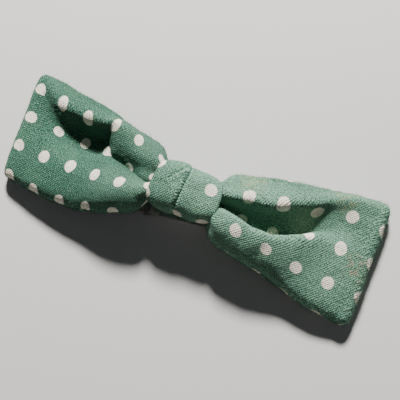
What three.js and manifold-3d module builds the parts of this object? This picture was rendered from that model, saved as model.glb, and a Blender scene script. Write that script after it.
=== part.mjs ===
// A pre-tied clip-on bow tie, lying on its back.
// Millimetres. X runs along the bow, +Y is the top of the tie as worn, +Z is its front.
// The origin is on the surface that the tie lies on, below the middle of the knot.

import * as THREE from 'three';
import { mergeVertices } from 'three/addons/utils/BufferGeometryUtils.js';
import Module from 'manifold-3d';

const wasm = await Module();
wasm.setup();

// ---------- driving dimensions ----------

const BOW_LENGTH = 122;
const END_HEIGHT = 40;
const CLOTH_THICKNESS = 0.45;
const INTERLINING_THICKNESS = 0.4;
const GAP = 0.3;
const END_FOLD_RADIUS = 2.5;
const BAND_END_GAP = 0.6;
const BAND_SEAM_SLIT = 0.04;

const KNOT_LENGTH = 22;
const KNOT_ACROSS = 15.6;
const KNOT_DEPTH = 12.6;
const KNOT_WALL = 1.2;
const KNOT_LINING_LENGTH = 16;
const KNOT_LINING_WALL = 0.5;
const KNOT_SEAM_GAP = 0.5;
const KNOT_SQUARENESS = 4;
const KNOT_SEAM_Y = 5.8;
const SLEEVE_STEPS = 32;

const CLIP_OFFSET_Y = -3;
const CLIP_SKEW_DEGREES = 8;
const CLIP_LENGTH = 56;
const CLIP_WIDTH = 12;
const CLIP_HEIGHT = 5.2;
const SHEET = 0.6;
const PIN_X = 11.5;
const PIN_Z = 2.6;
const PIN_RADIUS = 0.5;
const PIN_HOLE_RADIUS = 0.65;
const PIN_HEAD_RADIUS = 0.95;
const PIN_SIDES = 16;
const BASE_TAPER_X = 18;
const BASE_END_WIDTH = 8.4;
const BASE_CORNER = 1.8;
const NEEDLE_HOLE_RADIUS = 0.7;
const STITCH_X = 3.5;
const STITCH_Y = 3.2;
const JAW_INNER_X = 1.5;
const JAW_WIDTH = 9.6;
const JAW_REAR_Z = 0.3;
const JAW_TAPER_X = 17;
const JAW_TIP_WIDTH = 7.4;
const JAW_CORNER = 1.5;
const JAW_EAR_RADIUS = 1.5;
const JAW_EAR_WALL = 0.5;
const TOOTH_PITCH = 1.35;
const TOOTH_DEPTH = 0.9;
const COIL_RADIUS = 0.95;
const COIL_TURNS = 5.5;
const COIL_HALF_LENGTH = 2.4;
const WIRE_RADIUS = 0.2;
const THREAD_RADIUS = 0.25;
const THREAD_SIDES = 6;

// The thickness of one ply of the bow: cloth, clearance, interlining, clearance, cloth.
const PLY_HALF = INTERLINING_THICKNESS / 2 + GAP + CLOTH_THICKNESS;
const FOLD_X = BOW_LENGTH / 2 - END_FOLD_RADIUS - PLY_HALF;
const FOLD_HALF_HEIGHT = END_HEIGHT / 2 - PLY_HALF;
const CLIP_BACK_Z = CLIP_HEIGHT - SHEET;
const KNOT_Z = CLIP_HEIGHT + GAP + KNOT_DEPTH / 2;

// Ribs of the bow from the middle of the knot to the end fold. half is half the height of the
// gathered cloth, back and valley are the heights of the back ply and of the groove along the
// front ply, and lobe is how far the front ply's two lobes rise out of that groove.
const RIBS = [
  { x: 0, half: 3.6, back: 10.1, valley: 12.3, lobe: 0.6 },
  { x: 6, half: 3.8, back: 10.0, valley: 12.2, lobe: 0.7 },
  { x: 10, half: 4.3, back: 9.4, valley: 11.8, lobe: 0.8 },
  { x: 12, half: 6.2, back: 8.9, valley: 11.3, lobe: 1.7 },
  { x: 14, half: 9.4, back: 8.5, valley: 10.9, lobe: 3.8 },
  { x: 18, half: 10.8, back: 7.9, valley: 10.3, lobe: 5.0 },
  { x: 24, half: 12.3, back: 7.1, valley: 9.6, lobe: 5.6 },
  { x: 30, half: 13.7, back: 6.5, valley: 9.0, lobe: 4.9 },
  { x: 38, half: 15.5, back: 4.3, valley: 8.3, lobe: 3.2 },
  { x: 48, half: 17.5, back: 1.7, valley: 7.0, lobe: 1.0 },
  {
    x: FOLD_X,
    half: FOLD_HALF_HEIGHT,
    back: PLY_HALF,
    valley: PLY_HALF + 2 * END_FOLD_RADIUS,
    lobe: 0,
  },
];

// ---------- materials ----------

const faceCloth = new THREE.MeshStandardMaterial({ color: 0x2f5a49, roughness: 0.95, metalness: 0 });
const interliningCloth = new THREE.MeshStandardMaterial({ color: 0xd8d2c0, roughness: 1, metalness: 0 });
const greenThread = new THREE.MeshStandardMaterial({ color: 0x24483a, roughness: 0.8, metalness: 0 });
const platedSteel = new THREE.MeshStandardMaterial({ color: 0xb4b4b0, roughness: 0.3, metalness: 1 });
const springSteel = new THREE.MeshStandardMaterial({ color: 0x8f9194, roughness: 0.4, metalness: 1 });

// ---------- helpers ----------

/**
 * A closed body through cross-sections with equal numbers of points; outline is their flat form.
 * Each four-sided patch is split along its shorter diagonal, so that nested bodies are split alike.
 */
function loft(sections, outline) {
  const count = outline.length;
  const points = sections.flat();
  const positions = points.flatMap((point) => point.toArray());
  const triangles = [];
  for (let i = 0; i < sections.length - 1; i += 1) {
    for (let j = 0; j < count; j += 1) {
      const a = i * count + j;
      const b = i * count + ((j + 1) % count);
      const c = b + count;
      const d = a + count;
      const straight = points[a].distanceTo(points[c]) < points[b].distanceTo(points[d]);
      triangles.push(...(straight ? [a, b, c, a, c, d] : [a, b, d, b, c, d]));
    }
  }
  const last = (sections.length - 1) * count;
  const clockwise = THREE.ShapeUtils.isClockWise(outline);
  for (const face of THREE.ShapeUtils.triangulateShape(outline, [])) {
    const [a, b, c] = clockwise ? face.toReversed() : face;
    triangles.push(c, b, a);
    triangles.push(last + a, last + b, last + c);
  }
  const geometry = new THREE.BufferGeometry();
  geometry.setAttribute('position', new THREE.Float32BufferAttribute(positions, 3));
  geometry.setIndex(triangles);
  return facingOut(geometry);
}

/** Turns a closed geometry's triangles round if its volume comes out negative. */
function facingOut(geometry) {
  const index = geometry.getIndex().array;
  const place = geometry.getAttribute('position');
  const corner = (k) => new THREE.Vector3().fromBufferAttribute(place, index[k]);
  let volume = 0;
  for (let k = 0; k < index.length; k += 3) {
    volume += corner(k).dot(corner(k + 1).cross(corner(k + 2)));
  }
  if (volume < 0) {
    for (let k = 0; k < index.length; k += 3) {
      [index[k + 1], index[k + 2]] = [index[k + 2], index[k + 1]];
    }
  }
  geometry.computeVertexNormals();
  return geometry;
}

/** A manifold-3d solid with the same surface as a closed three.js geometry. */
function solidFrom(geometry) {
  const bare = geometry.clone();
  bare.deleteAttribute('normal');
  bare.deleteAttribute('uv');
  const merged = mergeVertices(bare);
  const mesh = new wasm.Mesh({
    numProp: 3,
    vertProperties: new Float32Array(merged.getAttribute('position').array),
    triVerts: new Uint32Array(merged.getIndex().array),
  });
  return new wasm.Manifold(mesh);
}

/** The three.js geometry of a manifold-3d solid. */
function geometryFrom(solid) {
  const mesh = solid.getMesh();
  const geometry = new THREE.BufferGeometry();
  geometry.setAttribute('position', new THREE.BufferAttribute(mesh.vertProperties, 3));
  geometry.setIndex(new THREE.BufferAttribute(mesh.triVerts, 1));
  geometry.computeVertexNormals();
  return geometry;
}

/** A flat outline in X and Y pulled up from z to z + height. */
function plate(shape, z, height) {
  const options = { depth: height, bevelEnabled: false, curveSegments: 6 };
  return new THREE.ExtrudeGeometry(shape, options).translate(0, 0, z);
}

/** A flat outline in X and Z pulled along Y, from y to y + width. */
function sidePlate(shape, y, width) {
  const geometry = plate(shape, 0, width);
  return geometry.rotateX(Math.PI / 2).translate(0, y + width, 0);
}

/** A tube of round section along a curve, with closed ends. */
function thread(curve, radius, steps) {
  const section = new THREE.Shape();
  for (let k = 0; k < THREAD_SIDES; k += 1) {
    const angle = (2 * Math.PI * k) / THREAD_SIDES;
    const place = [radius * Math.cos(angle), radius * Math.sin(angle)];
    if (k === 0) section.moveTo(...place);
    else section.lineTo(...place);
  }
  section.closePath();
  return new THREE.ExtrudeGeometry(section, { steps, extrudePath: curve, bevelEnabled: false });
}

/** A polyline through points as one curve, walked at even steps. */
function pathThrough(points) {
  return new THREE.CatmullRomCurve3(points, false, 'centripetal');
}

/** A closed shape through [x, y] corners. */
function polygon(corners) {
  return new THREE.Shape(corners.map(([x, y]) => new THREE.Vector2(x, y)));
}

function namedMesh(name, geometry, material) {
  const mesh = new THREE.Mesh(geometry, material);
  mesh.name = name;
  return mesh;
}

/** A point on a rounded rectangle in the YZ plane, at a turn measured from +Y towards +Z. */
function roundedPoint(x, turn, halfY, halfZ, centreZ) {
  const bend = 2 / KNOT_SQUARENESS;
  const c = Math.cos(turn);
  const s = Math.sin(turn);
  const y = halfY * Math.sign(c) * Math.abs(c) ** bend;
  const z = halfZ * Math.sign(s) * Math.abs(s) ** bend;
  return new THREE.Vector3(x, y, centreZ + z);
}

// ---------- the bow: one folded band ----------

/** The stations of the band's middle surface, from one raw end round both folds to the other. */
function bandStations() {
  const front = (rib, side) => (v) => {
    const rise = rib.lobe * Math.sin(Math.PI * v) ** 2;
    return new THREE.Vector3(side * rib.x, rib.half * v, rib.valley + rise);
  };
  const back = (rib, side) => (v) => {
    const x = Math.max(rib.x, BAND_END_GAP / 2);
    return new THREE.Vector3(side * x, rib.half * v, rib.back);
  };
  const fold = (side, angle) => (v) => {
    const x = FOLD_X + END_FOLD_RADIUS * Math.sin(angle);
    const z = PLY_HALF + END_FOLD_RADIUS * (1 + Math.cos(angle));
    return new THREE.Vector3(side * x, FOLD_HALF_HEIGHT * v, z);
  };
  const turns = [1, 2, 3].map((k) => (k * Math.PI) / 4);
  const outward = RIBS;
  const inward = [...RIBS].reverse();
  return [
    ...outward.map((rib) => back(rib, -1)),
    ...[...turns].reverse().map((angle) => fold(-1, angle)),
    ...inward.map((rib) => front(rib, -1)),
    ...outward.slice(1).map((rib) => front(rib, 1)),
    ...turns.map((angle) => fold(1, angle)),
    ...inward.map((rib) => back(rib, 1)),
  ];
}

/**
 * Lofts a strip along the band. Each outline entry is a place across the band (v from -1 to 1),
 * a distance past its edge (out) and a distance off the middle surface (lift).
 */
function bandStrip(outline) {
  const stations = bandStations();
  const step = 0.05;
  const sections = stations.map((at, i) => {
    const before = stations[Math.max(i - 1, 0)];
    const after = stations[Math.min(i + 1, stations.length - 1)];
    return outline.map(({ v, out, lift }) => {
      const across = at(v + step).sub(at(v - step)).normalize();
      const along = after(v).sub(before(v));
      const normal = along.cross(across).normalize();
      return at(v).addScaledVector(across, out).addScaledVector(normal, lift);
    });
  });
  // The flat form is bowed a little, so that no three of its points are in line.
  const flat = outline.map(({ v, out, lift }) => new THREE.Vector2(v * FOLD_HALF_HEIGHT + out, lift + v * v));
  return loft(sections, flat);
}

const ACROSS = [-1, -0.8, -0.6, -0.4, -0.2, 0, 0.2, 0.4, 0.6, 0.8, 1];

/** A row of outline points at one lift, from one place across the band to another. */
function row(from, to, lift) {
  const low = Math.min(from, to);
  const high = Math.max(from, to);
  const inside = ACROSS.filter((v) => v > low && v < high);
  const places = [low, ...inside, high];
  if (from > to) places.reverse();
  return places.map((v) => ({ v, out: 0, lift }));
}

/** The face cloth: a flattened tube, open along a slit down the middle of its inner side. */
function wingBand() {
  const outer = PLY_HALF;
  const inner = PLY_HALF - CLOTH_THICKNESS;
  return bandStrip([
    ...row(-1, 1, outer),
    { v: 1, out: outer, lift: 0 },
    ...row(1, BAND_SEAM_SLIT, -outer),
    ...row(BAND_SEAM_SLIT, 1, -inner),
    { v: 1, out: inner, lift: 0 },
    ...row(1, -1, inner),
    { v: -1, out: -inner, lift: 0 },
    ...row(-1, -BAND_SEAM_SLIT, -inner),
    ...row(-BAND_SEAM_SLIT, -1, -outer),
    { v: -1, out: -outer, lift: 0 },
  ]);
}

/** The stiffening strip inside the tube of face cloth. */
function wingInterlining() {
  const half = INTERLINING_THICKNESS / 2;
  return bandStrip([...row(-1, 1, half), ...row(1, -1, -half)]);
}

/** Thread wound round the gathered band, beside its raw ends. */
function gatherThread() {
  const turns = 3;
  const steps = 24;
  const pitch = 0.8;
  const firstX = 1.5;
  const low = RIBS[0].back - PLY_HALF - 0.9;
  const high = RIBS[0].valley + RIBS[0].lobe + PLY_HALF + 0.8;
  const halfY = RIBS[0].half + PLY_HALF + 0.6;
  const halfZ = (high - low) / 2;
  const centreZ = (high + low) / 2;
  const points = [];
  for (let k = 0; k <= turns * steps; k += 1) {
    const turn = (2 * Math.PI * k) / steps;
    points.push(roundedPoint(firstX + (pitch * k) / steps, turn, halfY, halfZ, centreZ));
  }
  return thread(pathThrough(points), THREAD_RADIUS, turns * steps);
}

/** Points that step from side to side while they move on from one end to the other. */
function zigzag(from, to, swing, stitches) {
  const points = [];
  for (let k = 0; k <= stitches; k += 1) {
    const side = k % 2 === 0 ? 1 : -1;
    points.push(new THREE.Vector3().lerpVectors(from, to, k / stitches).addScaledVector(swing, side));
  }
  return new THREE.CatmullRomCurve3(points, false, 'catmullrom', 0.1);
}

/** The stitches that join the band's two raw ends, under the back ply. */
function bandSeamThread() {
  const z = RIBS[0].back - PLY_HALF - GAP - THREAD_RADIUS;
  const from = new THREE.Vector3(0, -2.8, z);
  const to = new THREE.Vector3(0, 2.8, z);
  const curve = zigzag(from, to, new THREE.Vector3(0.8, 0, 0), 7);
  return thread(curve, THREAD_RADIUS, 28);
}

// ---------- the knot ----------

/** A sleeve round the middle of the bow with a slit behind, from rings given as { x, shrink }. */
function sleeve(rings, halfY, halfZ, wall) {
  const bend = 2 / KNOT_SQUARENESS;
  const seamTurn = -Math.acos((KNOT_SEAM_Y / halfY) ** (1 / bend));
  const slit = KNOT_SEAM_GAP / 2 / halfY;
  const turns = [];
  for (let k = 0; k <= SLEEVE_STEPS; k += 1) {
    turns.push(seamTurn + slit + ((2 * Math.PI - 2 * slit) * k) / SLEEVE_STEPS);
  }
  const ring = (x, shrink) => [
    ...turns.map((turn) => roundedPoint(x, turn, halfY - shrink, halfZ - shrink, KNOT_Z)),
    ...[...turns].reverse().map((turn) => roundedPoint(x, turn, halfY - wall, halfZ - wall, KNOT_Z)),
  ];
  const sections = rings.map(({ x, shrink }) => ring(x, shrink));
  const flat = ring(0, 0).map((point) => new THREE.Vector2(point.y, point.z));
  return loft(sections, flat);
}

/** The knot's face cloth, with edges that roll in at both ends. */
function knotBand() {
  const end = KNOT_LENGTH / 2;
  const right = [
    { x: end / 2, shrink: 0.05 },
    { x: end - 1, shrink: 0.15 },
    { x: end, shrink: 0.6 },
  ];
  const left = [...right].reverse().map(({ x, shrink }) => ({ x: -x, shrink }));
  const rings = [...left, { x: 0, shrink: 0 }, ...right];
  return sleeve(rings, KNOT_ACROSS / 2, KNOT_DEPTH / 2, KNOT_WALL);
}

/** The stiffening inside the knot. */
function knotInterlining() {
  const end = KNOT_LINING_LENGTH / 2;
  const inset = KNOT_WALL + GAP;
  const rings = [-end, end].map((x) => ({ x, shrink: 0 }));
  return sleeve(rings, KNOT_ACROSS / 2 - inset, KNOT_DEPTH / 2 - inset, KNOT_LINING_WALL);
}

/** The stitches that close the knot behind, above the clip. */
function knotSeamThread() {
  const z = CLIP_HEIGHT + 0.25;
  const from = new THREE.Vector3(-9, KNOT_SEAM_Y, z);
  const to = new THREE.Vector3(9, KNOT_SEAM_Y, z);
  const curve = zigzag(from, to, new THREE.Vector3(0, 0.7, 0.25), 15);
  return thread(curve, THREAD_RADIUS, 60);
}

// ---------- the clip ----------

/** A plate outline that is straight in the middle and narrows to rounded ends. */
function taperedShape(x0, x1, width, taperFrom, endWidth, corner) {
  const w = width / 2;
  const e = endWidth / 2;
  const shape = new THREE.Shape();
  shape.moveTo(x0 + corner, -w);
  shape.lineTo(taperFrom, -w);
  shape.lineTo(x1 - corner, -e);
  shape.quadraticCurveTo(x1, -e, x1, -e + corner);
  shape.lineTo(x1, e - corner);
  shape.quadraticCurveTo(x1, e, x1 - corner, e);
  shape.lineTo(taperFrom, w);
  shape.lineTo(x0 + corner, w);
  shape.quadraticCurveTo(x0, w, x0, w - corner);
  shape.lineTo(x0, -w + corner);
  shape.quadraticCurveTo(x0, -w, x0 + corner, -w);
  return shape;
}

/** A cylinder along Y, used for pins and for the holes that take them. */
function roundBar(x, z, radius, length) {
  return new THREE.CylinderGeometry(radius, radius, length, PIN_SIDES).translate(x, 0, z);
}

/** The fixed half of the clip: a strip with tapered ends, two pairs of ears and sewing holes. */
function clipBase() {
  const end = CLIP_LENGTH / 2;
  const half = taperedShape(-BASE_CORNER, end, CLIP_WIDTH, BASE_TAPER_X, BASE_END_WIDTH, BASE_CORNER);
  const right = solidFrom(plate(half, CLIP_BACK_Z, SHEET));
  let body = right.add(right.rotate([0, 0, 180]));
  const earShape = polygon([
    [PIN_X - 3.4, CLIP_BACK_Z + 0.2],
    [PIN_X - 1.6, 0],
    [PIN_X + 1.6, 0],
    [PIN_X + 3.4, CLIP_BACK_Z + 0.2],
  ]);
  for (const y of [-CLIP_WIDTH / 2, CLIP_WIDTH / 2 - SHEET]) {
    const ear = solidFrom(sidePlate(earShape, y, SHEET));
    body = body.add(ear).add(ear.mirror([1, 0, 0]));
  }
  for (const x of [-PIN_X, PIN_X]) {
    body = body.subtract(solidFrom(roundBar(x, PIN_Z, PIN_HOLE_RADIUS, 2 * CLIP_WIDTH)));
  }
  const needleHole = new THREE.Shape().absarc(0, 0, NEEDLE_HOLE_RADIUS, 0, 2 * Math.PI);
  for (const x of [-STITCH_X, STITCH_X]) {
    for (const y of [-STITCH_Y, STITCH_Y]) {
      body = body.subtract(solidFrom(plate(needleHole, 0, 2 * CLIP_HEIGHT).translate(x, y, 0)));
    }
  }
  return geometryFrom(body);
}

/** A moving jaw, drawn for the right side: thumb pad, ears on the pin, and a toothed tip. */
function jaw() {
  const tip = CLIP_LENGTH / 2 - 1;
  const side = polygon([
    [JAW_INNER_X, JAW_REAR_Z],
    [PIN_X + 2.5, JAW_REAR_Z],
    [tip, 2.9],
    [tip, CLIP_BACK_Z - 0.25],
    [tip - SHEET, CLIP_BACK_Z - 0.25],
    [tip - SHEET, 2.8 + SHEET],
    [PIN_X + 2.3, JAW_REAR_Z + SHEET],
    [JAW_INNER_X, JAW_REAR_Z + SHEET],
  ]);
  const outline = taperedShape(JAW_INNER_X, tip, JAW_WIDTH, JAW_TAPER_X, JAW_TIP_WIDTH, JAW_CORNER);
  let body = solidFrom(sidePlate(side, -JAW_WIDTH / 2, JAW_WIDTH));
  body = body.intersect(solidFrom(plate(outline, -1, 2 * CLIP_HEIGHT)));
  const earTop = new THREE.Shape().absarc(PIN_X, PIN_Z, JAW_EAR_RADIUS, 0, Math.PI);
  earTop.lineTo(PIN_X - 2.6, JAW_REAR_Z + 0.2);
  earTop.lineTo(PIN_X + 2.6, JAW_REAR_Z + 0.2);
  for (const y of [-JAW_WIDTH / 2, JAW_WIDTH / 2 - JAW_EAR_WALL]) {
    body = body.add(solidFrom(sidePlate(earTop, y, JAW_EAR_WALL)));
  }
  body = body.subtract(solidFrom(roundBar(PIN_X, PIN_Z, PIN_HOLE_RADIUS, 2 * JAW_WIDTH)));
  const tipZ = CLIP_BACK_Z - 0.25;
  const notch = polygon([[-0.45, CLIP_HEIGHT], [0, tipZ - TOOTH_DEPTH], [0.45, CLIP_HEIGHT]]);
  const cutter = solidFrom(sidePlate(notch, 0, 3).rotateZ(Math.PI / 2).translate(tip + 1, 0, 0));
  for (let k = -2; k <= 2; k += 1) {
    body = body.subtract(cutter.translate([0, TOOTH_PITCH * k, 0]));
  }
  return geometryFrom(body);
}

/** A headed pin along Y. */
function hingePin() {
  const inner = CLIP_WIDTH / 2 + 0.2;
  const outer = inner + 0.4;
  const profile = [
    [0, -outer],
    [PIN_HEAD_RADIUS, -outer],
    [PIN_HEAD_RADIUS, -inner],
    [PIN_RADIUS, -inner],
    [PIN_RADIUS, inner],
    [PIN_HEAD_RADIUS, inner],
    [PIN_HEAD_RADIUS, outer],
    [0, outer],
  ];
  const points = profile.map(([r, y]) => new THREE.Vector2(r, y));
  return new THREE.LatheGeometry(points, PIN_SIDES).translate(PIN_X, 0, PIN_Z);
}

/** A torsion spring on the pin; its two legs push the thumb pad away from the base. */
function torsionSpring() {
  const stepsPerTurn = 12;
  const points = [
    new THREE.Vector3(6.4, -COIL_HALF_LENGTH, CLIP_BACK_Z - GAP - WIRE_RADIUS),
    new THREE.Vector3(8.6, -COIL_HALF_LENGTH, CLIP_BACK_Z - GAP - WIRE_RADIUS - 0.15),
    new THREE.Vector3(10.4, -COIL_HALF_LENGTH, PIN_Z + COIL_RADIUS + 0.1),
  ];
  const steps = COIL_TURNS * stepsPerTurn;
  for (let k = 0; k <= steps; k += 1) {
    const turn = (2 * Math.PI * k) / stepsPerTurn;
    const y = -COIL_HALF_LENGTH + (2 * COIL_HALF_LENGTH * k) / steps;
    const x = PIN_X + COIL_RADIUS * Math.sin(turn);
    const z = PIN_Z + COIL_RADIUS * Math.cos(turn);
    points.push(new THREE.Vector3(x, y, z));
  }
  points.push(new THREE.Vector3(10.4, COIL_HALF_LENGTH, PIN_Z - COIL_RADIUS - 0.1));
  const padZ = JAW_REAR_Z + SHEET + GAP + WIRE_RADIUS;
  points.push(new THREE.Vector3(8.6, COIL_HALF_LENGTH, padZ + 0.1));
  points.push(new THREE.Vector3(6.4, COIL_HALF_LENGTH, padZ));
  return thread(pathThrough(points), WIRE_RADIUS, points.length + 10);
}

/** The thread that sews one end of the base to the knot: down one hole, across, up the other. */
function clipStitch() {
  const low = CLIP_BACK_Z - 0.35;
  const high = CLIP_HEIGHT + 0.05;
  const points = [
    new THREE.Vector3(STITCH_X, -STITCH_Y, high),
    new THREE.Vector3(STITCH_X, -STITCH_Y + 0.05, low + 0.35),
    new THREE.Vector3(STITCH_X, -STITCH_Y + 0.4, low),
    new THREE.Vector3(STITCH_X, STITCH_Y - 0.4, low),
    new THREE.Vector3(STITCH_X, STITCH_Y - 0.05, low + 0.35),
    new THREE.Vector3(STITCH_X, STITCH_Y, high),
  ];
  return thread(pathThrough(points), THREAD_RADIUS, 20);
}

/** The same shape on the other side of the tie. */
function mirrored(geometry) {
  const flipped = geometry.index ? geometry.clone() : mergeVertices(geometry.clone());
  return facingOut(flipped.scale(-1, 1, 1));
}

// ---------- the assembly ----------

const bow = new THREE.Group();
bow.add(namedMesh('wing_band', wingBand(), faceCloth));
bow.add(namedMesh('wing_interlining', wingInterlining(), interliningCloth));
bow.add(namedMesh('gather_thread', gatherThread(), greenThread));
bow.add(namedMesh('band_seam_thread', bandSeamThread(), greenThread));

const knot = new THREE.Group();
knot.add(namedMesh('knot_band', knotBand(), faceCloth));
knot.add(namedMesh('knot_interlining', knotInterlining(), interliningCloth));
knot.add(namedMesh('knot_seam_thread', knotSeamThread(), greenThread));

const clip = new THREE.Group();
clip.position.y = CLIP_OFFSET_Y;
clip.rotation.z = THREE.MathUtils.degToRad(CLIP_SKEW_DEGREES);
clip.add(namedMesh('clip_base', clipBase(), platedSteel));
const sidedPieces = [
  ['jaw', jaw(), platedSteel],
  ['hinge_pin', hingePin(), springSteel],
  ['spring', torsionSpring(), springSteel],
  ['clip_stitch', clipStitch(), greenThread],
];
for (const [name, geometry, material] of sidedPieces) {
  clip.add(namedMesh(`right_${name}`, geometry, material));
  clip.add(namedMesh(`left_${name}`, mirrored(geometry), material));
}

const bowTie = new THREE.Group();
bowTie.add(bow, knot, clip);

export default bowTie;
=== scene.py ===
import math

import bpy
import numpy as np
from mathutils import Matrix, Vector


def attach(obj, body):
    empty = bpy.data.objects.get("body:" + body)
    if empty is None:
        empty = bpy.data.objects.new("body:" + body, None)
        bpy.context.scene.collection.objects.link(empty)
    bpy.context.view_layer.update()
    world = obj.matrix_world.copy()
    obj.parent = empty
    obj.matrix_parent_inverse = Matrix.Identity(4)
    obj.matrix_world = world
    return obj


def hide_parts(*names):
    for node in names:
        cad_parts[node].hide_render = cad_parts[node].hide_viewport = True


# Shapes are in millimetres, and MM turns them into metres. Shader distances, noise scales and
# lights are in metres.
MM = 0.001

CAMERA_AZIMUTH, CAMERA_ELEVATION, CAMERA_ROLL = -39.5, 78.0, -17.3
CAMERA_TARGET = (4.4, -1.0, 8.0)
CAMERA_DISTANCE = 231.0
CAMERA_LENS = 66.4

# the printed cloth: its spots, and the pitch of its weave's threads
PITCH = 10.4
ROW_PITCH = 10.7
DOT_RADIUS = 1.88
DOT_EDGE = 0.16
THREAD_PITCH = 0.42

# the bow: half the thickness of a ply, its cloth, its interlining, and where the end folds start
PLY_HALF = 0.95
CLOTH = 0.45
LINING_HALF = 0.2
LINING_INSET = 1.0
FOLD_X = 57.3
FOLD_RADIUS = 2.5
FOLD_STEPS = 15
HALF_SPAN = 20.0
LOWEST = 1.0

KNOT_CENTRE_Z = 11.8
KNOT_CENTRE_Y = -1.0
KNOT_HALF_Y = 7.2
KNOT_HALF_Z = 5.7
KNOT_HALF_PLY = 0.75
KNOT_CLOTH = 0.4

FLOOR_HALF = 1500.0

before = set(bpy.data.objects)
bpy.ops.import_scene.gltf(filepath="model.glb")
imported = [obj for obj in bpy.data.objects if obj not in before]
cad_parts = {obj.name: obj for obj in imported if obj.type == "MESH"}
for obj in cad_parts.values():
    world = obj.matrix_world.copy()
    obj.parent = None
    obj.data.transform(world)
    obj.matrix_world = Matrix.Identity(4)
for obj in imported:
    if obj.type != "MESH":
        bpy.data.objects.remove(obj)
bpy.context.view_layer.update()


# ---------------------------------------------------------------- camera
def make_camera():
    angles = (CAMERA_AZIMUTH, CAMERA_ELEVATION, CAMERA_ROLL)
    azimuth, elevation, roll = (math.radians(a) for a in angles)
    target = Vector(CAMERA_TARGET) * MM
    back = Vector((-math.sin(azimuth) * math.cos(elevation),
                   -math.cos(azimuth) * math.cos(elevation),
                   math.sin(elevation)))
    right = (-back).cross(Vector((0, 0, 1))).normalized()
    up = right.cross(-back)
    across = right * math.cos(roll) + up * math.sin(roll)
    upward = up * math.cos(roll) - right * math.sin(roll)
    data = bpy.data.cameras.new("camera")
    data.sensor_width = 36.0
    data.lens = CAMERA_LENS
    data.clip_start = 0.01
    data.clip_end = 10.0
    camera = bpy.data.objects.new("camera", data)
    turn = Matrix((across, upward, back)).transposed().to_4x4()
    camera.matrix_world = Matrix.Translation(target + back * CAMERA_DISTANCE * MM) @ turn
    bpy.context.scene.collection.objects.link(camera)
    bpy.context.scene.camera = camera


make_camera()


# ---------------------------------------------------------------- material helpers
class Shader:
    """A short way to wire up one material's nodes."""

    def __init__(self, name):
        self.material = bpy.data.materials.new(name)
        self.material.use_nodes = True
        self.tree = self.material.node_tree
        self.tree.nodes.clear()
        self.bsdf = self.node("ShaderNodeBsdfPrincipled")
        out = self.node("ShaderNodeOutputMaterial")
        self.wire(self.bsdf.outputs["BSDF"], out.inputs["Surface"])

    def node(self, kind, **settings):
        made = self.tree.nodes.new(kind)
        for key, value in settings.items():
            setattr(made, key, value)
        return made

    def wire(self, source, target):
        self.tree.links.new(source, target)

    def feed(self, socket, value):
        if isinstance(value, bpy.types.NodeSocket):
            self.wire(value, socket)
        else:
            socket.default_value = value

    def put(self, name, value):
        self.feed(self.bsdf.inputs[name], value)

    def calc(self, operation, a, b=0.0, c=0.0):
        made = self.node("ShaderNodeMath", operation=operation)
        for socket, value in zip(made.inputs, (a, b, c)):
            self.feed(socket, value)
        return made.outputs[0]

    def step(self, value, low, high):
        made = self.node("ShaderNodeMapRange", interpolation_type="SMOOTHSTEP")
        self.feed(made.inputs["Value"], value)
        made.inputs["From Min"].default_value = low
        made.inputs["From Max"].default_value = high
        return made.outputs["Result"]

    def noise(self, vector, scale, detail=3.0, rough=0.55, distortion=0.0):
        made = self.node("ShaderNodeTexNoise")
        self.feed(made.inputs["Vector"], vector)
        made.inputs["Scale"].default_value = scale
        made.inputs["Detail"].default_value = detail
        made.inputs["Roughness"].default_value = rough
        made.inputs["Distortion"].default_value = distortion
        return made.outputs["Fac"]

    def mix(self, factor, a, b, blend="MIX"):
        made = self.node("ShaderNodeMix", data_type="RGBA", blend_type=blend)
        self.feed(made.inputs["Factor"], factor)
        self.feed(made.inputs["A"], a)
        self.feed(made.inputs["B"], b)
        return [o for o in made.outputs if o.type == "RGBA"][0]

    def split(self, vector):
        made = self.node("ShaderNodeSeparateXYZ")
        self.wire(vector, made.inputs[0])
        return made.outputs[0], made.outputs[1], made.outputs[2]

    def join(self, x, y, z=0.0):
        made = self.node("ShaderNodeCombineXYZ")
        for socket, value in zip(made.inputs, (x, y, z)):
            self.feed(socket, value)
        return made.outputs[0]

    def bump(self, height, strength, distance, below=None):
        made = self.node("ShaderNodeBump")
        self.feed(made.inputs["Height"], height)
        made.inputs["Strength"].default_value = strength
        made.inputs["Distance"].default_value = distance
        if below is not None:
            self.wire(below, made.inputs["Normal"])
        return made.outputs["Normal"]

    def object_place(self):
        return self.node("ShaderNodeTexCoord").outputs["Object"]

    def spot(self, place, centre, radius, soft):
        away = self.node("ShaderNodeVectorMath", operation="DISTANCE")
        self.wire(place, away.inputs[0])
        away.inputs[1].default_value = [c * MM for c in centre]
        beyond = self.step(away.outputs["Value"], (radius - soft) * MM, (radius + soft) * MM)
        return self.calc("SUBTRACT", 1.0, beyond)


def rgb(r, g, b):
    def line(c):
        c /= 255.0
        return c / 12.92 if c <= 0.04045 else ((c + 0.055) / 1.055) ** 2.4
    return (line(r), line(g), line(b), 1.0)


def spot_mask(sh, du, dv, wobble):
    """The mask of one printed spot, from the distances to its centre."""
    squares = sh.calc("ADD", sh.calc("MULTIPLY", du, du), sh.calc("MULTIPLY", dv, dv))
    away = sh.calc("ADD", sh.calc("SQRT", squares), wobble)
    return sh.calc("SUBTRACT", 1.0, sh.step(away, DOT_RADIUS - DOT_EDGE, DOT_RADIUS + DOT_EDGE))


def round_grid(sh, u, v, wobble):
    """The mask of a square grid of spots, one at every whole number of u and v."""
    du = sh.calc("MULTIPLY", sh.calc("SUBTRACT", u, sh.calc("ROUND", u)), PITCH)
    dv = sh.calc("MULTIPLY", sh.calc("SUBTRACT", v, sh.calc("ROUND", v)), PITCH)
    return spot_mask(sh, du, dv, wobble)


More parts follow.
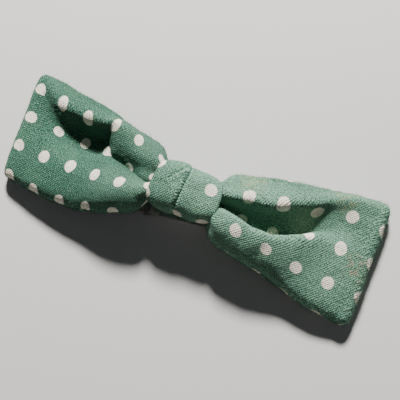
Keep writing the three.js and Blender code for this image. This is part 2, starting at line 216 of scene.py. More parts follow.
def round_spots(sh, u, v, wobble, centres):
    """The mask of spots at the places given."""
    total = 0.0
    for centre_u, centre_v in centres:
        du = sh.calc("SUBTRACT", u, centre_u)
        dv = sh.calc("SUBTRACT", v, centre_v)
        total = sh.calc("MAXIMUM", total, spot_mask(sh, du, dv, wobble))
    return total


def weave_of(sh, mm_u, mm_v, wander):
    """A plain weave of uneven woollen threads."""
    jitter = sh.calc("MULTIPLY", wander, 0.5)
    waves = []
    for along in (mm_u, mm_v):
        placed = sh.calc("ADD", along, jitter)
        waves.append(sh.calc("SINE", sh.calc("MULTIPLY", placed, math.pi / THREAD_PITCH)))
    return sh.calc("MULTIPLY_ADD", sh.calc("MULTIPLY", *waves), 0.5, 0.5)


def wool_greens(sh, threads, place, weave):
    """Greens from thread to thread and patch to patch, with painted light: the weave's crowns paler
    than its gaps, and the cloth paler over the right wing and on its highest parts.
    """
    green = sh.mix(sh.step(sh.noise(threads, 1.8, 5.0, 0.8), 0.36, 0.64),
                   rgb(10, 38, 29), rgb(68, 120, 98))
    # painted shade and highlight: the weave's raised crowns paler than the gaps between its threads
    green = sh.mix(sh.calc("MULTIPLY", sh.step(weave, 0.35, 0.9), 0.42), green, rgb(98, 152, 128))
    patch = sh.step(sh.noise(place, 130.0, 3.0, 0.6), 0.38, 0.66)
    green = sh.mix(sh.calc("MULTIPLY", patch, 0.28), green, rgb(90, 134, 104))
    along, _, high = sh.split(place)
    # painted light: the cloth grows paler from the middle out over the right wing, standing in for the
    # brighter light falling there
    right_wing_painted_light = sh.calc("MULTIPLY", sh.step(along, -0.022, 0.014), 0.46)
    # painted highlight: paler where the cloth stands highest, on the tops that the key light falls on
    # most
    high_painted_light = sh.calc("MULTIPLY", sh.step(high, 0.0105, 0.017), 0.2)
    uneven = sh.step(sh.noise(threads, 1.4, 5.0, 0.75), 0.2, 0.62)
    # the painted light of both masks, broken up by noise
    painted_paling = sh.calc("MULTIPLY", sh.calc("ADD", right_wing_painted_light, high_painted_light), uneven)
    return sh.mix(painted_paling, green, rgb(146, 190, 162))


def specked(sh, threads, green):
    """Specks of dark gaps and of pale fibre ends."""
    speck = sh.noise(threads, 2.6, 2.0, 0.5)
    green = sh.mix(sh.calc("MULTIPLY", sh.step(speck, 0.47, 0.37), 0.75), green, rgb(12, 36, 28))
    return sh.mix(sh.calc("MULTIPLY", sh.step(speck, 0.58, 0.68), 0.4), green, rgb(176, 206, 184))


# Faint stains: centre, radius, softness, scale and start of the grain, strength, colour
STAINS = (
    ((18.5, 9.5, 13.5), 3.4, 2.6, 700.0, 0.42, 0.4, (196, 186, 140)),
    ((46.5, 15.5, 8.4), 3.0, 2.4, 640.0, 0.45, 0.4, (196, 186, 140)),
    ((56.5, -3.0, 6.5), 4.0, 2.6, 520.0, 0.44, 0.42, (176, 138, 118)),
)


def stained(sh, place, green):
    for centre, radius, soft, scale, start, strength, colour in STAINS:
        grain = sh.step(sh.noise(place, scale, 4.0, 0.7), start, 0.6)
        mark = sh.calc("MULTIPLY", sh.spot(place, centre, radius, soft), grain)
        green = sh.mix(sh.calc("MULTIPLY", mark, strength), green, rgb(*colour))
    return green


def wool(name, centres=None):
    """Printed woollen cloth, coloured through its UV map: in steps of the print, or in
    millimetres where the centres of its spots are given."""
    sh = Shader(name)
    u, v, _ = sh.split(sh.node("ShaderNodeUVMap", uv_map="cloth").outputs["UV"])
    place = sh.object_place()
    unit = PITCH if centres is None else 1.0
    mm_u = sh.calc("MULTIPLY", u, unit)
    mm_v = sh.calc("MULTIPLY", v, unit)
    threads = sh.join(mm_u, mm_v)
    wander = sh.calc("SUBTRACT", sh.noise(threads, 0.9, 3.0), 0.5)
    wobble = sh.calc("MULTIPLY", wander, 0.55)
    if centres is None:
        dots = round_grid(sh, u, v, wobble)
    else:
        dots = round_spots(sh, u, v, wobble, centres)
    weave = weave_of(sh, mm_u, mm_v, wander)
    green = stained(sh, place, specked(sh, threads, wool_greens(sh, threads, place, weave)))

    fine = sh.noise(threads, 3.6, 3.0, 0.7)
    cream = sh.mix(sh.step(fine, 0.35, 0.7), rgb(240, 228, 202), rgb(255, 252, 242))
    bare = sh.calc("MULTIPLY", sh.step(sh.noise(threads, 4.5, 3.0, 0.7), 0.62, 0.8), 0.5)
    printed = sh.calc("MULTIPLY", dots, sh.calc("SUBTRACT", 1.0, bare))
    sh.put("Base Color", sh.mix(printed, green, cream))
    sh.put("Roughness", 0.92)
    sh.put("Specular IOR Level", 0.18)
    sh.put("Sheen Weight", 0.08)
    sh.put("Sheen Roughness", 0.5)
    sh.put("Sheen Tint", (0.55, 0.85, 0.68, 1.0))
    coarse = sh.bump(sh.noise(place, 420.0, 4.0, 0.65), 0.55, 0.0006)
    nap = sh.bump(fine, 0.7, 0.0004, coarse)
    sh.put("Normal", sh.bump(weave, 0.8, 0.0003, nap))
    return sh.material


def plain_cloth(name, colour, pale):
    sh = Shader(name)
    place = sh.object_place()
    x, y, _ = sh.split(place)
    mesh = sh.calc("MULTIPLY", sh.calc("SINE", sh.calc("MULTIPLY", x, 9000.0)),
                   sh.calc("SINE", sh.calc("MULTIPLY", y, 9000.0)))
    sh.put("Base Color", sh.mix(sh.step(sh.noise(place, 900.0), 0.3, 0.7), colour, pale))
    sh.put("Roughness", 0.95)
    sh.put("Normal", sh.bump(mesh, 0.5, 0.0001))
    return sh.material


def thread_finish(name, colour, pale):
    sh = Shader(name)
    place = sh.object_place()
    twist = sh.noise(place, 2600.0, 2.0, 0.5, 0.6)
    sh.put("Base Color", sh.mix(sh.step(twist, 0.35, 0.65), colour, pale))
    sh.put("Roughness", 0.7)
    sh.put("Sheen Weight", 0.1)
    sh.put("Normal", sh.bump(twist, 0.8, 0.0001))
    return sh.material


def metal(name, colour, dull, rough_low, rough_high, brushed):
    sh = Shader(name)
    place = sh.object_place()
    x, y, z = sh.split(place)
    grain = sh.noise(sh.join(sh.calc("MULTIPLY", x, brushed), y, z), 2500.0, 3.0, 0.6)
    tarnish = sh.step(sh.noise(place, 420.0, 5.0, 0.65), 0.42, 0.7)
    sh.put("Metallic", 1.0)
    sh.put("Base Color", sh.mix(tarnish, colour, dull))
    rough = sh.calc("MULTIPLY_ADD", tarnish, rough_high - rough_low, rough_low)
    sh.put("Roughness", sh.calc("ADD", rough, sh.calc("MULTIPLY", grain, 0.08)))
    sh.put("Normal", sh.bump(grain, 0.25, 0.00005))
    return sh.material


# ---------------------------------------------------------------- curves and surfaces
def monotone(xs, ys, at):
    """Shape-keeping cubic interpolation of the columns of ys."""
    xs, ys, at = np.asarray(xs, float), np.asarray(ys, float), np.asarray(at, float)
    flat = ys.reshape(len(xs), -1)
    step = np.diff(xs)[:, None]
    slope = np.diff(flat, axis=0) / step
    grade = np.zeros_like(flat)
    for i in range(1, len(xs) - 1):
        a, b = slope[i - 1], slope[i]
        w1 = 2 * step[i] + step[i - 1]
        w2 = step[i] + 2 * step[i - 1]
        same = a * b > 0
        mean = (w1 + w2) / (w1 / np.where(same, a, 1) + w2 / np.where(same, b, 1))
        grade[i] = np.where(same, mean, 0)
    grade[0], grade[-1] = slope[0], slope[-1]
    k = np.clip(np.searchsorted(xs, at) - 1, 0, len(xs) - 2)
    h = (xs[k + 1] - xs[k])[:, None]
    t = ((at - xs[k]) / (xs[k + 1] - xs[k]))[:, None]
    out = ((2 * t**3 - 3 * t**2 + 1) * flat[k] + (t**3 - 2 * t**2 + t) * h * grade[k]
           + (3 * t**2 - 2 * t**3) * flat[k + 1] + (t**3 - t**2) * h * grade[k + 1])
    return out.reshape((len(at),) + ys.shape[1:])


def smooth_path(points, count):
    """A smooth curve through the points, given back at even steps of its own length."""
    p = np.asarray(points, float)
    before = 2 * p[0] - p[1]
    after = 2 * p[-1] - p[-2]
    q = np.vstack([before, p, after])
    dense = []
    steps_per_span = 14
    for i in range(1, len(q) - 2):
        a, b, c, d = q[i - 1:i + 3]
        gaps = [max(np.linalg.norm(n - m), 1e-6) ** 0.5 for m, n in ((a, b), (b, c), (c, d))]
        t0, t1, t2, t3 = 0.0, gaps[0], gaps[0] + gaps[1], sum(gaps)
        t = np.linspace(t1, t2, steps_per_span, endpoint=i == len(q) - 3)[:, None]
        a1 = (t1 - t) / (t1 - t0) * a + (t - t0) / (t1 - t0) * b
        a2 = (t2 - t) / (t2 - t1) * b + (t - t1) / (t2 - t1) * c
        a3 = (t3 - t) / (t3 - t2) * c + (t - t2) / (t3 - t2) * d
        b1 = (t2 - t) / (t2 - t0) * a1 + (t - t0) / (t2 - t0) * a2
        b2 = (t3 - t) / (t3 - t1) * a2 + (t - t1) / (t3 - t1) * a3
        dense.append((t2 - t) / (t2 - t1) * b1 + (t - t1) / (t2 - t1) * b2)
    dense = np.vstack(dense)
    length = np.concatenate([[0], np.cumsum(np.linalg.norm(np.diff(dense, axis=0), axis=1))])
    at = np.linspace(0, length[-1], count)
    return np.stack([np.interp(at, length, dense[:, k]) for k in range(2)], axis=1)


def value_noise(points, scale, seed):
    """Smooth noise in -1..1 at the points, from a seeded lattice."""
    rng = np.random.default_rng(seed)
    size = 64
    lattice = rng.uniform(-1, 1, (size, size, size))
    p = points * scale
    cell = np.floor(p).astype(int)
    part = p - cell
    part = part * part * (3 - 2 * part)
    total = np.zeros(points.shape[:-1])
    for corner in np.ndindex(2, 2, 2):
        weight = np.ones(points.shape[:-1])
        for axis in range(3):
            weight = weight * (part[..., axis] if corner[axis] else 1 - part[..., axis])
        index = (cell + np.array(corner)) % size
        total += weight * lattice[index[..., 0], index[..., 1], index[..., 2]]
    return total


def normals_of(grid):
    """Unit normals of a grid of points that is a loop along its first axis, and its across vectors."""
    along = np.roll(grid, -1, axis=0) - np.roll(grid, 1, axis=0)
    across = np.gradient(grid, axis=1)
    n = np.cross(along, across)
    return n / np.maximum(np.linalg.norm(n, axis=2, keepdims=True), 1e-9), across


def shell_ring(grid, uv, half, inset, rounds=5):
    """The closed skin at a distance half from both sides of a looped strip, as a grid of points."""
    n, across = normals_of(grid)
    out_hi = across[:, -1] / np.linalg.norm(across[:, -1], axis=1, keepdims=True)
    out_lo = -across[:, 0] / np.linalg.norm(across[:, 0], axis=1, keepdims=True)
    core = grid
    if inset:
        keep = 1 - inset / (0.5 * np.linalg.norm(np.diff(grid, axis=1), axis=2).sum(axis=1))
        middle = grid[:, grid.shape[1] // 2][:, None]
        core = middle + (grid - middle) * keep[:, None, None]
    turn = np.linspace(0, math.pi, rounds + 2)[1:-1]
    hi = [core[:, -1] + half * (math.cos(a) * n[:, -1] + math.sin(a) * out_hi) for a in turn]
    lo = [core[:, 0] + half * (-math.cos(a) * n[:, 0] + math.sin(a) * out_lo) for a in turn]
    span = np.linalg.norm(np.diff(grid[:, :2], axis=1), axis=2)[:, :, None]
    bend = (turn * half)[None, :, None]
    uv_hi = uv[:, -1:] + np.diff(uv[:, -2:, :], axis=1) / span * bend
    uv_lo = uv[:, :1] - np.diff(uv[:, :2, :], axis=1) / span * bend[:, ::-1]
    rows = [core + n * half, np.stack(hi, 1), (core - n * half)[:, ::-1], np.stack(lo, 1)]
    uvs = [uv, uv_hi, uv[:, ::-1], uv_lo]
    return np.concatenate(rows, axis=1), np.concatenate(uvs, axis=1)


def torus_faces(rows, columns, flip):
    i = np.arange(rows)[:, None]
    j = np.arange(columns)[None, :]
    a = i * columns + j
    b = ((i + 1) % rows) * columns + j
    c = ((i + 1) % rows) * columns + (j + 1) % columns
    d = i * columns + (j + 1) % columns
    quad = np.stack([a, b, c, d], axis=2).reshape(-1, 4)
    return quad[:, ::-1] if flip else quad


def mesh_object(name, vertices, faces, corner_uv=None, material=None, smooth=True):
    mesh = bpy.data.meshes.new(name)
    mesh.vertices.add(len(vertices))
    mesh.vertices.foreach_set("co", (np.asarray(vertices, np.float32) * MM).ravel())
    count, sides = faces.shape
    mesh.loops.add(count * sides)
    mesh.polygons.add(count)
    mesh.loops.foreach_set("vertex_index", faces.astype(np.int32).ravel())
    mesh.polygons.foreach_set("loop_start", np.arange(count, dtype=np.int32) * sides)
    mesh.polygons.foreach_set("use_smooth", np.full(count, smooth))
    if corner_uv is not None:
        layer = mesh.uv_layers.new(name="cloth")
        layer.data.foreach_set("uv", corner_uv.astype(np.float32).ravel())
    mesh.update(calc_edges=True)
    mesh.validate()
    made = bpy.data.objects.new(name, mesh)
    bpy.context.scene.collection.objects.link(made)
    if material is not None:
        mesh.materials.append(material)
    return made


def skin_object(name, skins, material):
    """One object of closed skins, each a (points, uv, inner) grid looped both ways."""
    vertices, faces, uvs, base = [], [], [], 0
    for points, uv, inner in skins:
        rows, columns = points.shape[:2]
        quad = torus_faces(rows, columns, inner)
        flat_uv = uv.reshape(-1, 2)
        vertices.append(points.reshape(-1, 3))
        faces.append(quad + base)
        uvs.append(flat_uv[quad].reshape(-1, 2))
        base += rows * columns
    return mesh_object(name, np.vstack(vertices), np.vstack(faces), np.vstack(uvs), material)


# ---------------------------------------------------------------- the bow's band
# Each row is one place along a wing: its distance from the middle, then ten (y, z) points across
# the front ply, from the lower edge up over the lower lobe, the valley and the upper lobe.
RIGHT = (
    (0.0, (-3.6, 12.2), (-3.3, 12.8), (-2.6, 13.2), (-1.4, 13.2), (-1.0, 12.9), (0.0, 12.7),
     (0.9, 12.9), (2.0, 13.2), (3.1, 12.8), (3.6, 12.2)),
    (9.0, (-5.0, 11.6), (-4.8, 13.0), (-3.9, 14.4), (-2.6, 14.6), (-2.3, 13.2), (-1.6, 12.0),
     (-0.6, 12.6), (0.6, 14.0), (3.8, 14.0), (5.0, 11.8)),
    (13.0, (-11.0, 10.8), (-10.8, 12.8), (-7.6, 15.2), (-3.2, 16.0), (-2.9, 13.6), (-2.0, 10.9),
     (-0.4, 11.2), (1.2, 12.8), (2.8, 15.8), (9.0, 12.4)),
    (18.0, (-12.6, 10.0), (-12.4, 11.9), (-8.6, 14.9), (-3.9, 16.2), (-3.7, 12.6), (-2.6, 9.9),
     (0.0, 10.3), (1.8, 11.9), (3.5, 15.8), (10.6, 12.2)),
    (24.0, (-13.6, 9.2), (-13.4, 11.0), (-9.8, 14.2), (-5.2, 15.6), (-5.0, 11.8), (-3.8, 9.0),
     (-0.6, 9.3), (2.2, 10.9), (4.4, 15.3), (12.4, 11.8)),
    (28.5, (-14.3, 8.2), (-14.0, 9.9), (-10.0, 13.0), (-5.0, 14.6), (-4.8, 10.6), (-3.4, 7.9),
     (0.2, 8.2), (3.4, 9.9), (5.8, 14.5), (13.6, 11.0)),
    (32.0, (-14.8, 7.0), (-14.4, 8.9), (-10.4, 12.0), (-4.0, 13.6), (-3.8, 9.4), (-2.2, 6.0),
     (1.2, 6.6), (4.9, 8.9), (7.8, 13.2), (14.5, 10.2)),
    (37.0, (-16.0, 5.6), (-15.4, 7.7), (-10.8, 10.4), (-1.8, 11.8), (-1.4, 8.8), (0.2, 4.9),
     (3.6, 5.4), (7.0, 7.6), (10.4, 11.5), (15.6, 8.8)),
    (43.0, (-17.4, 4.6), (-16.6, 6.9), (-10.8, 8.9), (1.2, 9.6), (2.0, 8.4), (3.6, 6.0),
     (6.6, 6.4), (10.4, 7.8), (14.2, 9.8), (16.9, 6.3)),
    (50.0, (-18.5, 3.9), (-17.8, 6.2), (-11.0, 7.6), (-0.4, 7.9), (2.2, 7.6), (5.2, 6.6),
     (8.8, 6.6), (13.2, 7.6), (16.9, 8.2), (18.3, 5.3)),
    (FOLD_X, (-19.2, 3.2), (-18.6, 5.2), (-12.0, 6.1), (-3.0, 6.3), (1.5, 6.3), (5.2, 6.3),
     (9.2, 6.3), (13.4, 6.3), (18.2, 5.6), (19.2, 4.4)),
)
LEFT = (
    RIGHT[0],
    (9.0, (-5.0, 11.6), (-4.8, 13.2), (-4.2, 14.2), (-3.2, 14.4), (-2.6, 13.4), (-2.0, 12.4),
     (-0.4, 13.0), (1.8, 14.0), (4.0, 13.6), (5.0, 11.8)),
    (13.0, (-11.0, 10.8), (-10.8, 12.6), (-9.6, 14.8), (-6.4, 15.8), (-4.2, 14.6), (-2.8, 11.6),
     (-0.6, 13.0), (3.6, 14.6), (7.4, 14.0), (8.8, 11.2)),
    (18.0, (-13.4, 9.9), (-13.2, 11.6), (-11.6, 14.2), (-7.4, 15.6), (-4.0, 13.8), (-1.5, 10.2),
     (0.8, 12.0), (4.6, 14.4), (8.6, 14.2), (10.2, 10.6)),
    (22.0, (-15.0, 9.5), (-14.8, 11.2), (-12.8, 13.6), (-7.8, 15.0), (-3.2, 12.8), (0.2, 9.7),
     (2.4, 11.8), (5.6, 14.2), (9.6, 14.4), (11.4, 10.2)),
    (25.5, (-16.0, 9.0), (-15.7, 10.6), (-13.4, 12.8), (-7.8, 14.0), (-2.6, 11.8), (1.0, 9.1),
     (3.2, 11.2), (6.4, 13.8), (10.4, 14.8), (12.2, 10.4)),
    (27.6, (-16.4, 8.4), (-16.1, 10.1), (-13.6, 12.2), (-7.8, 13.2), (-2.4, 10.8), (1.2, 8.5),
     (3.6, 8.5), (7.0, 12.6), (11.0, 14.8), (12.8, 10.4)),
    (29.8, (-16.8, 7.4), (-16.4, 9.4), (-13.8, 11.4), (-7.6, 12.2), (-2.2, 9.8), (1.2, 7.0),
     (4.2, 6.3), (7.2, 7.2), (10.8, 14.0), (13.4, 11.4)),
    (32.0, (-17.2, 6.6), (-16.7, 8.8), (-13.8, 10.6), (-7.4, 11.3), (-2.2, 8.8), (0.9, 5.4),
     (4.2, 4.9), (6.9, 6.0), (10.2, 13.6), (14.0, 11.0)),
    (38.0, (-17.5, 5.3), (-16.9, 7.8), (-13.4, 9.4), (-7.0, 9.8), (-2.8, 7.4), (0.4, 4.9),
     (4.0, 4.5), (7.2, 6.2), (10.2, 12.3), (15.2, 10.0)),
    (44.0, (-17.4, 4.4), (-16.8, 6.9), (-12.8, 8.2), (-6.6, 8.5), (-2.6, 6.8), (0.2, 4.8),
     (3.8, 4.1), (7.2, 5.7), (10.9, 10.8), (16.2, 8.6)),
    (50.0, (-16.9, 3.8), (-16.2, 6.2), (-11.8, 7.4), (-6.0, 7.6), (-1.8, 7.0), (1.4, 5.4),
     (5.0, 4.6), (8.6, 5.8), (12.6, 9.0), (17.8, 6.9)),
    (FOLD_X, (-15.9, 3.2), (-15.4, 5.1), (-10.8, 6.1), (-5.0, 6.3), (0.0, 6.3), (4.8, 6.2),
     (9.2, 6.2), (13.4, 6.2), (18.0, 5.6), (19.1, 4.4)),
)
# The back ply's height along a wing. It clears the clip as far as the clip's arms reach.
BACK = ((0.0, 10.1), (9.0, 9.5), (13.0, 8.7), (18.0, 7.9), (24.0, 7.2), (28.3, 6.5), (30.2, 4.4),
        (33.0, 3.1), (38.0, 2.5), (44.0, 2.0), (50.0, 1.5), (FOLD_X, 1.05))
# Where the columns of dots come along the front, in whole steps of the print
COLUMNS = ((-57.2, 0), (-47.5, 1), (-37.5, 2), (-28.0, 3), (-19.5, 4), (-10.5, 5), (-1.0, 6),
           (8.8, 7), (18.9, 8), (29.0, 9), (39.2, 10), (50.0, 11), (60.5, 12))
ACROSS = 121
ACROSS_T = np.linspace(-1, 1, ACROSS)


def soft_floor(z, floor, ease=0.6):
    """Heights z kept above the floor, with a soft turn where they meet it."""
    lift = floor - z
    eased = np.where(lift > -ease, (lift + ease) ** 2 / (4 * ease), 0)
    return z + np.where(lift > ease, lift, eased)


def front_ply(table, xs, height):
    """The front ply's lines across the wing at the distances xs, clear of the back ply."""
    where = [row[0] for row in table]
    points = np.array([row[1:] for row in table])
    lines = np.array([smooth_path(p, ACROSS) for p in monotone(where, points, xs)])
    lines[..., 1] = soft_floor(lines[..., 1], height[:, None] + 2 * PLY_HALF + 0.06)
    return lines


def back_line(front, x, height):
    """The back ply's line across the wing behind the front ply's line at x."""
    y = front[:, 0] if x == FOLD_X else np.linspace(front[0, 0], front[-1, 0], ACROSS)
    belly = 0.25 * np.cos(ACROSS_T * math.pi) * (x / FOLD_X) if x > 34 else 0.0
    return np.stack([y, height + belly * np.ones(ACROSS)], 1)


def end_fold(sign, front, back):
    """Lines round an end fold from front to back: x, the line, and the steps of print turned."""
    radius = (front[:, 1] - back[:, 1]) / 2
    middle = (front[:, 1] + back[:, 1]) / 2
    folded = []
    for k in range(1, FOLD_STEPS + 1):
        a = math.pi * k / (FOLD_STEPS + 1)
        line = np.stack([front[:, 0], middle + radius * math.cos(a)], 1)
        folded.append((sign * (FOLD_X + radius * math.sin(a)), line, sign * a * FOLD_RADIUS / PITCH))
    return folded


def band_loop():
    """The band's middle surface, its print's steps along it, and how many lines are on the front."""
    xs = np.linspace(0, FOLD_X, 144)
    height = monotone([b[0] for b in BACK], np.array([b[1] for b in BACK])[:, None], xs)[:, 0]
    fronts = {1: front_ply(RIGHT, xs, height), -1: front_ply(LEFT, xs, height)}
    backs = {sign: [back_line(*at) for at in zip(fronts[sign], xs, height)] for sign in (1, -1)}
    column_x, column_n = zip(*COLUMNS)

    def step_at(x):
        return float(np.interp(x, column_x, column_n))

    front_x = np.concatenate([-xs[::-1], xs[1:]])
    front = np.concatenate([fronts[-1][::-1], fronts[1][1:]])
    lines = [(x, line, step_at(x)) for x, line in zip(front_x, front)]
    for x, line, turned in end_fold(1, fronts[1][-1], backs[1][-1]):
        lines.append((x, line, step_at(FOLD_X) + turned))
    right_end = lines[-1][2] + 0.1
    for x, line in zip(xs[::-1], backs[1][::-1]):
        lines.append((x, line, right_end + (FOLD_X - x) / PITCH))
    left_end = step_at(-FOLD_X) - math.pi * FOLD_RADIUS / PITCH
    for x, line in zip(xs[1:], backs[-1][1:]):
        lines.append((-x, line, left_end - (FOLD_X - x) / PITCH))
    for x, line, turned in end_fold(-1, fronts[-1][-1], backs[-1][-1])[::-1]:
        lines.append((x, line, step_at(-FOLD_X) + turned))
    grid = np.array([np.column_stack([np.broadcast_to(x, ACROSS), line]) for x, line, _ in lines])
    return grid, np.array([step for _, _, step in lines]), len(front_x)


def softened(grid, front_side):
    """The band as uneven cloth: gathers that start under the knot, slow waves, and worn edges."""
    reach = np.abs(grid[..., 0])
    phase = ACROSS_T * 13.0 + np.sign(grid[..., 0]) * 0.8 + 0.12 * reach
    gathers = np.exp(-((reach - 12.5) / 6.5) ** 2) * np.sin(phase)
    waves = 0.34 * value_noise(grid, 0.11, 3) + 0.16 * value_noise(grid, 0.27, 5)
    end_wear = np.clip((grid[..., 0] - 52.0) / 7.0, 0, 1)
    edge_wear = np.abs(ACROSS_T) ** 12
    lumps = value_noise(grid, 1.1, 9) * (0.05 + 0.14 * edge_wear + 0.15 * end_wear)
    fade = np.clip(reach / 16.0, 0.15, 1.0)
    amount = np.where(front_side, 0.32 * gathers + waves * fade, waves * 0.25 * fade)
    soft = grid + normals_of(grid)[0] * (amount + lumps)[..., None]
    soft[..., 2] = np.maximum(soft[..., 2], LOWEST)
    return soft


def band_strip():
    """The middle of the band's ply as a looped grid, and its place in the print."""
    grid, steps, front_count = band_loop()
    # the left end is cut a little aslant
    grid[..., 0] -= 0.07 * grid[..., 1] * np.clip(-grid[..., 0] / FOLD_X, 0, 1.1) ** 2
    front_side = np.arange(len(grid))[:, None] < front_count
    grid = softened(grid, front_side)

    # the print sits lower on the right wing, and sags where that wing's valley draws it in
    offset = 3.3 - 2.3 * (0.5 + 0.5 * np.tanh(grid[..., 0] / 10.0))
    drawn = np.exp(-((ACROSS_T + 0.3) / 0.45) ** 2 - ((grid[..., 0] - 34.0) / 12.0) ** 2)
    rows = (ACROSS_T * HALF_SPAN - offset) / ROW_PITCH + np.where(front_side, 0.26 * drawn, 0.0)
    return grid, np.stack([np.broadcast_to(steps[:, None], rows.shape), rows], axis=2)


wool_band = wool("printed_wool")
strip, strip_uv = band_strip()
outer = shell_ring(strip, strip_uv, PLY_HALF, 0)
inner = shell_ring(strip, strip_uv, PLY_HALF - CLOTH, 0)
band = skin_object("bow_band", [outer + (False,), inner + (True,)], wool_band)
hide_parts("wing_band")
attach(band, "tie")

lining_cloth = plain_cloth("interlining_cloth", rgb(196, 190, 174), rgb(222, 218, 204))
lining_skin = shell_ring(strip, strip_uv, LINING_HALF, LINING_INSET, 3)
lining = skin_object("bow_lining", [lining_skin + (False,)], lining_cloth)
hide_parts("wing_interlining")
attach(lining, "tie")


# ---------------------------------------------------------------- the knot
def knot_relief(a, x, y):
    """How far the knot's cloth stands out of its plain form at angle a round the bow."""
    # the left half laps over the right one along a tuck that runs down the front
    tuck_x = -1.2 + 0.6 * np.sin(a) - 1.0 * np.clip(np.sin(a), 0, 1) ** 3
    past = x - tuck_x
    lap = 0.7 / (1 + np.exp(past / 0.13))
    gap = -1.5 * np.exp(-((past - 0.5) / 0.42) ** 2)
    folds = 0.22 * np.sin(2.4 * a + 0.55 * x) * np.exp(-((x + 5) / 4) ** 2) \
        + 0.16 * np.sin(3.1 * a - 0.5 * x + 1.0) * np.exp(-((x - 6) / 4) ** 2)
    # a second, slanting crease on the left half
    from_crease = (x + 1.0) * 0.786 - (y - 7.0) * 0.618
    along_crease = -((x + 1.0) * 0.618 + (y - 7.0) * 0.786)
    window = np.clip(along_crease / 2.0, 0, 1) * np.clip((9.0 - along_crease) / 4.0, 0, 1)
    crease = (0.3 * np.exp(-((from_crease - 0.9) / 0.6) ** 2)
              - 0.6 * np.exp(-(from_crease / 0.5) ** 2)) * window
    shown = np.clip(1.25 * np.cos(a * 0.5) ** 2, 0, 1)
    return (lap + gap + np.where(past < 0, crease, 0) + folds) * shown - 0.15


def knot_strip():
    """The middle of the knot's wrap: the loop runs round the bow, the strip along it."""
    around = 220
    along = 75
    a = np.linspace(0, 2 * math.pi, around, endpoint=False)[:, None]
    x_unit = np.linspace(-1, 1, along)[None, :]
    c, s = np.cos(a), np.sin(a)
    front = 0.5 + 0.5 * c
    left = 8.2 + 1.6 * front - 0.5 * s
    right = 8.0 + 2.5 * front - 0.6 * np.sin(a - 0.5)
    x = np.where(x_unit < 0, x_unit * left, x_unit * right)
    squareness = 2.0 / 2.7
    y_unit = np.sign(s) * np.abs(s) ** squareness
    z_unit = np.sign(c) * np.abs(c) ** squareness
    swell = 1.0 - 0.13 * x_unit**4 - 0.03 * x_unit**2
    rise = knot_relief(a, x, KNOT_HALF_Y * y_unit)
    y = KNOT_CENTRE_Y + y_unit * (KNOT_HALF_Y * swell + rise)
    z = KNOT_CENTRE_Z + z_unit * (KNOT_HALF_Z * swell + rise)
    grid = np.stack([x, y, z], axis=2)
    grid = grid + normals_of(grid)[0] * (0.14 * value_noise(grid + 7.0, 0.3, 8))[..., None]
    step = np.linalg.norm(np.roll(grid, -1, axis=0) - grid, axis=2)[:, along // 2]
    length = np.concatenate([[0], np.cumsum(step)[:-1]])
    half = step.sum() / 2
    length = np.where(length > half, length - 2 * half, length)
    return grid, np.stack([x, np.repeat(length[:, None], along, axis=1)], axis=2)


# Spots on the knot: along the bow, and round the knot from the middle of its front
KNOT_DOTS = ((-10.9, -5.6), (-10.2, 4.8), (0.0, -8.9), (7.6, 2.4), (8.2, -8.6), (-3.0, 13.5),
             (7.2, 14.0), (-9.0, 15.5), (-6.0, -17.5), (4.0, -18.6))
wool_knot = wool("printed_wool_of_the_knot", KNOT_DOTS)
knot_grid, knot_uv = knot_strip()
knot_outer = shell_ring(knot_grid, knot_uv, KNOT_HALF_PLY, 0)
knot_inner = shell_ring(knot_grid, knot_uv, KNOT_HALF_PLY - KNOT_CLOTH, 0)
knot = skin_object("knot_wrap", [knot_outer + (False,), knot_inner + (True,)], wool_knot)
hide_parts("knot_band")
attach(knot, "tie")
knot_lining_skin = shell_ring(knot_grid, knot_uv, 0.18, 0.9, 3)
knot_lining = skin_object("knot_lining", [knot_lining_skin + (False,)], lining_cloth)
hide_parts("knot_interlining")
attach(knot_lining, "tie")


# ---------------------------------------------------------------- nap
def tufts(name, sites, normals, lengths, material, seed):
    """Fine curled fibres that stand on the cloth, each a three-sided tapering hair."""
    rng = np.random.default_rng(seed)
    count = len(sites)
    lean = normals + rng.normal(0, 0.75, (count, 3))
    lean /= np.linalg.norm(lean, axis=1, keepdims=True)
    curl = rng.normal(0, 0.9, (count, 3))
    radius = rng.uniform(0.03, 0.055, count)
    levels = np.array([0.0, 0.35, 0.7, 1.0])
    side_a = np.cross(lean, np.array([0.3, 0.5, 0.8]))
    side_a /= np.linalg.norm(side_a, axis=1, keepdims=True)
    side_b = np.cross(lean, side_a)
    rings = []
    for level in levels:
        spine = sites + lengths[:, None] * (lean * level + 0.5 * curl * level**2)
        for corner in range(3):
            a = corner * 2 * math.pi / 3
            wide = (radius * (1 - 0.75 * level))[:, None]
            rings.append(spine + wide * (math.cos(a) * side_a + math.sin(a) * side_b))
    points = np.stack(rings, axis=1).reshape(-1, 3)
    points[:, 2] = np.maximum(points[:, 2], 0.04)
    start = (np.arange(count) * 12)[:, None]
    quads = []
    for level in range(3):
        for corner in range(3):
            after = (corner + 1) % 3
            quads.append(start + np.array([[level * 3 + corner, level * 3 + after,
                                            level * 3 + 3 + after, level * 3 + 3 + corner]]))
    return mesh_object(name, points, np.concatenate(quads), None, material)


def nap_finish(name, dark, pale):
    sh = Shader(name)
    place = sh.object_place()
    sh.put("Base Color", sh.mix(sh.step(sh.noise(place, 1500.0), 0.35, 0.65), dark, pale))
    sh.put("Roughness", 0.9)
    sh.put("Specular IOR Level", 0.2)
    return sh.material


def scatter(skin, count, seed, choose):
    """Places on a skin, picked evenly and then kept with the chance that choose gives."""
    points = skin[0]
    n = normals_of(points)[0]
    rng = np.random.default_rng(seed)
    i = rng.integers(0, points.shape[0], count)
    j = rng.integers(0, points.shape[1], count)
    site, normal = points[i, j], n[i, j]
    kept = rng.random(count) < choose(site, j / points.shape[1])
    jitter = rng.normal(0, 0.12, (count, 3))
    return site[kept] + jitter[kept], normal[kept]


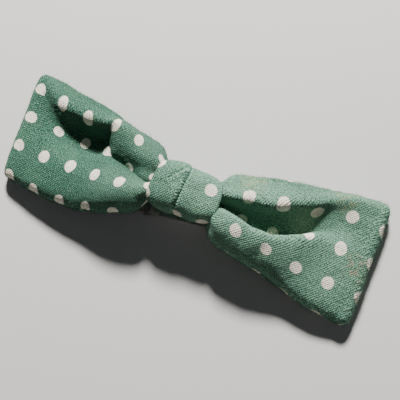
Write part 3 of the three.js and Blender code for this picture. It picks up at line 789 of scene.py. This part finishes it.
def band_chance(site, across):
    """More nap on the long edges, and most at the worn right-hand end."""
    edge = np.exp(-(np.minimum(np.abs(across - 0.49), np.minimum(across, 1 - across)) / 0.02) ** 2)
    right_end = np.clip((site[:, 0] - 54.0) / 6.0, 0, 1)
    left_end = np.clip((-site[:, 0] - 58.0) / 4.0, 0, 1)
    top = site[:, 2] > 3.0
    return np.where(top, 0.08 + 0.75 * edge + 0.5 * right_end + 0.2 * left_end, 0.0)


def knot_chance(site, across):
    """Even nap on the knot's front, and none behind."""
    return np.where(site[:, 2] > 8, 0.45, 0.0)


green_nap = nap_finish("green_nap", rgb(44, 92, 70), rgb(128, 172, 148))
sites, ways = scatter(outer, 120000, 11, band_chance)
rng = np.random.default_rng(4)
band_nap = tufts("band_nap", sites, ways, rng.uniform(0.3, 1.1, len(sites)), green_nap, 12)
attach(band_nap, "tie")
sites, ways = scatter(knot_outer, 4000, 13, knot_chance)
knot_nap = tufts("knot_nap", sites, ways, rng.uniform(0.2, 0.5, len(sites)), green_nap, 14)
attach(knot_nap, "tie")


# ---------------------------------------------------------------- carried-over parts
green_thread = thread_finish("green_thread", rgb(38, 66, 54), rgb(70, 100, 84))
plated = metal("worn_plate", (0.60, 0.59, 0.56, 1), (0.24, 0.23, 0.21, 1), 0.24, 0.5, 0.1)
spring_wire = metal("spring_wire", (0.42, 0.42, 0.43, 1), (0.2, 0.19, 0.18, 1), 0.28, 0.5, 1.0)
FINISH = {"gather_thread": green_thread, "band_seam_thread": green_thread,
          "knot_seam_thread": green_thread, "left_clip_stitch": green_thread,
          "right_clip_stitch": green_thread, "clip_base": plated, "left_jaw": plated,
          "right_jaw": plated, "left_hinge_pin": spring_wire, "right_hinge_pin": spring_wire,
          "left_spring": spring_wire, "right_spring": spring_wire}
for node_name, finish_used in FINISH.items():
    for material_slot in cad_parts[node_name].material_slots:
        material_slot.material = finish_used


# ---------------------------------------------------------------- floor and light
def floor_finish():
    sh = Shader("floor_finish")
    place = sh.object_place()
    pale, paler = (0.58, 0.575, 0.56, 1), (0.62, 0.615, 0.60, 1)
    sh.put("Base Color", sh.mix(sh.noise(place, 3.0, 2.0), pale, paler))
    sh.put("Roughness", 0.7)
    sh.put("Normal", sh.bump(sh.noise(place, 900.0, 3.0), 0.06, 0.0003))
    return sh.material


corners = FLOOR_HALF * np.array([(-1, -1, 0), (1, -1, 0), (1, 1, 0), (-1, 1, 0)])
floor = mesh_object("floor", corners, np.array([[0, 1, 2, 3]]), None, floor_finish(), False)


def area_light(name, direction, distance, size, power, colour):
    """A round soft light; the distance and size are in metres."""
    data = bpy.data.lights.new(name, "AREA")
    data.shape = "DISK"
    data.size = size
    data.energy = power
    data.color = colour
    light = bpy.data.objects.new(name, data)
    way = Vector(direction).normalized()
    light.location = way * distance
    light.rotation_mode = "QUATERNION"
    light.rotation_quaternion = way.to_track_quat("Z", "Y")
    bpy.context.scene.collection.objects.link(light)


area_light("key", (-0.26, 0.735, 0.625), 0.9, 0.15, 25.0, (1.0, 0.985, 0.955))
area_light("fill", (0.5, -0.7, 0.9), 1.2, 1.0, 0.5, (0.93, 0.96, 1.0))
world = bpy.data.worlds.new("room")
world.use_nodes = True
world.node_tree.nodes["Background"].inputs["Color"].default_value = (0.86, 0.89, 0.93, 1)
world.node_tree.nodes["Background"].inputs["Strength"].default_value = 0.05
bpy.context.scene.world = world
